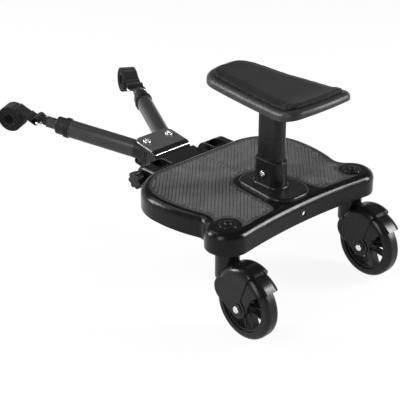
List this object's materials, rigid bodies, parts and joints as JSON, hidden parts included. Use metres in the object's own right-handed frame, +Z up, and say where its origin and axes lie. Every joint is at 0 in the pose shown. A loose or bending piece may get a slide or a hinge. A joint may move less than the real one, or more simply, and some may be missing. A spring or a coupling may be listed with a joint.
{
  "type": "buggy board with seat",
  "caption": "Ride-on board for a child with saddle seat on a post, swivel castors and telescopic arms with wound straps that hitch it behind a pushchair",
  "frame": {"origin": "on the floor under the middle of the board's width and of its whole length, arms drawn in", "axes": "X to the right of a child who faces the pushchair, Y forward to the pushchair, Z up"},
  "size_m": [0.384, 0.7454, 0.3849],
  "materials": {
    "deck_plastic": "satin moulded",
    "mat_rubber": "matt, raised bumps",
    "fork_plastic": "glossy moulded",
    "arm_plastic": "satin moulded",
    "tube_metal": "satin black coating",
    "cover_metal": "dark grey coating",
    "steel": "bright zinc",
    "insert_brass": "plain",
    "wheel_plastic": "satin moulded",
    "tyre_rubber": "smooth black",
    "seat_plastic": "satin moulded",
    "pad_foam": "matt foam skin",
    "strap_webbing": "hook and loop webbing",
    "bush_plastic": "plain bearing plastic"
  },
  "bodies": {
    "board": {"deck_shell": "deck_plastic", "grip_mat": "mat_rubber", "seat_foot": "deck_plastic", "seat_foot_screws": "steel", "collar_screw": "steel", "collar_nut": "steel", "seat_post": "tube_metal", "seat_plate": "tube_metal", "seat_screws": "steel", "seat_shell": "seat_plastic", "seat_pad": "pad_foam", "hinge_rod": "steel", "left_swivel_bolt": "steel", "left_cup_washer": "deck_plastic", "left_swivel_washer": "bush_plastic", "left_swivel_nut": "steel", "right_swivel_bolt": "steel", "right_cup_washer": "deck_plastic", "right_swivel_washer": "bush_plastic", "right_swivel_nut": "steel"},
    "knob": {"hinge_knob": "arm_plastic", "knob_insert": "insert_brass"},
    "arm_head": {"head_housing": "arm_plastic", "head_cover": "cover_metal", "pivot_screws": "steel", "pivot_nuts": "steel"},
    "left_castor": {"left_fork": "fork_plastic", "left_axle": "steel", "left_swivel_bush": "bush_plastic"},
    "left_wheel": {"left_wheel_core": "wheel_plastic", "left_tyre": "tyre_rubber", "left_wheel_bearings": "steel"},
    "left_arm": {"left_arm_socket": "arm_plastic", "left_outer_tube": "tube_metal", "left_arm_collar": "arm_plastic"},
    "left_extension": {"left_inner_tube": "tube_metal", "left_guide_shoe": "arm_plastic", "left_end_plug": "arm_plastic"},
    "left_hitch_strap": {"left_strap_ring": "steel", "left_strap": "strap_webbing"},
    "right_castor": {"right_fork": "fork_plastic", "right_axle": "steel", "right_swivel_bush": "bush_plastic"},
    "right_wheel": {"right_wheel_core": "wheel_plastic", "right_tyre": "tyre_rubber", "right_wheel_bearings": "steel"},
    "right_arm": {"right_arm_socket": "arm_plastic", "right_outer_tube": "tube_metal", "right_arm_collar": "arm_plastic"},
    "right_extension": {"right_inner_tube": "tube_metal", "right_guide_shoe": "arm_plastic", "right_end_plug": "arm_plastic"},
    "right_hitch_strap": {"right_strap_ring": "steel", "right_strap": "strap_webbing"}
  },
  "joints": [
    {"name": "arm_head_pitch", "type": "hinge", "parent": "board", "child": "arm_head", "pos_m": [0, 0.00684, 0.161], "axis": [1, 0, 0], "range_deg": [-25, 75]},
    {"name": "knob_turn", "type": "hinge", "parent": "board", "child": "knob", "pos_m": [-0.103, 0.00684, 0.161], "axis": [1, 0, 0], "continuous": true},
    {"name": "left_castor_swivel", "type": "hinge", "parent": "board", "child": "left_castor", "pos_m": [-0.153, -0.26416, 0.1482], "axis": [0, 0, 1], "continuous": true},
    {"name": "left_wheel_spin", "type": "hinge", "parent": "left_castor", "child": "left_wheel", "pos_m": [-0.153, -0.31266, 0.06], "axis": [1, 0, 0], "continuous": true},
    {"name": "left_arm_splay", "type": "hinge", "parent": "arm_head", "child": "left_arm", "pos_m": [-0.027, 0.08569, 0.16115], "axis": [0, -0.1478, 0.989], "range_deg": [-20, 25]},
    {"name": "left_arm_extend", "type": "slide", "parent": "left_arm", "child": "left_extension", "axis": [-0.4147, 0.9, 0.1345], "range_m": [0, 0.09]},
    {"name": "left_strap_swing", "type": "hinge", "parent": "left_extension", "child": "left_hitch_strap", "pos_m": [-0.11574, 0.27828, 0.18994], "axis": [0.91, 0.4101, 0.0613], "range_deg": [-45, 45]},
    {"name": "right_castor_swivel", "type": "hinge", "parent": "board", "child": "right_castor", "pos_m": [0.153, -0.26416, 0.1482], "axis": [0, 0, 1], "continuous": true},
    {"name": "right_wheel_spin", "type": "hinge", "parent": "right_castor", "child": "right_wheel", "pos_m": [0.153, -0.31266, 0.06], "axis": [1, 0, 0], "continuous": true},
    {"name": "right_arm_splay", "type": "hinge", "parent": "arm_head", "child": "right_arm", "pos_m": [0.027, 0.08569, 0.16115], "axis": [0, 0.1478, -0.989], "range_deg": [-20, 25]},
    {"name": "right_arm_extend", "type": "slide", "parent": "right_arm", "child": "right_extension", "axis": [0.4147, 0.9, 0.1345], "range_m": [0, 0.09]},
    {"name": "right_strap_swing", "type": "hinge", "parent": "right_extension", "child": "right_hitch_strap", "pos_m": [0.11574, 0.27828, 0.18994], "axis": [0.91, -0.4101, -0.0613], "range_deg": [-45, 45]}
  ]
}
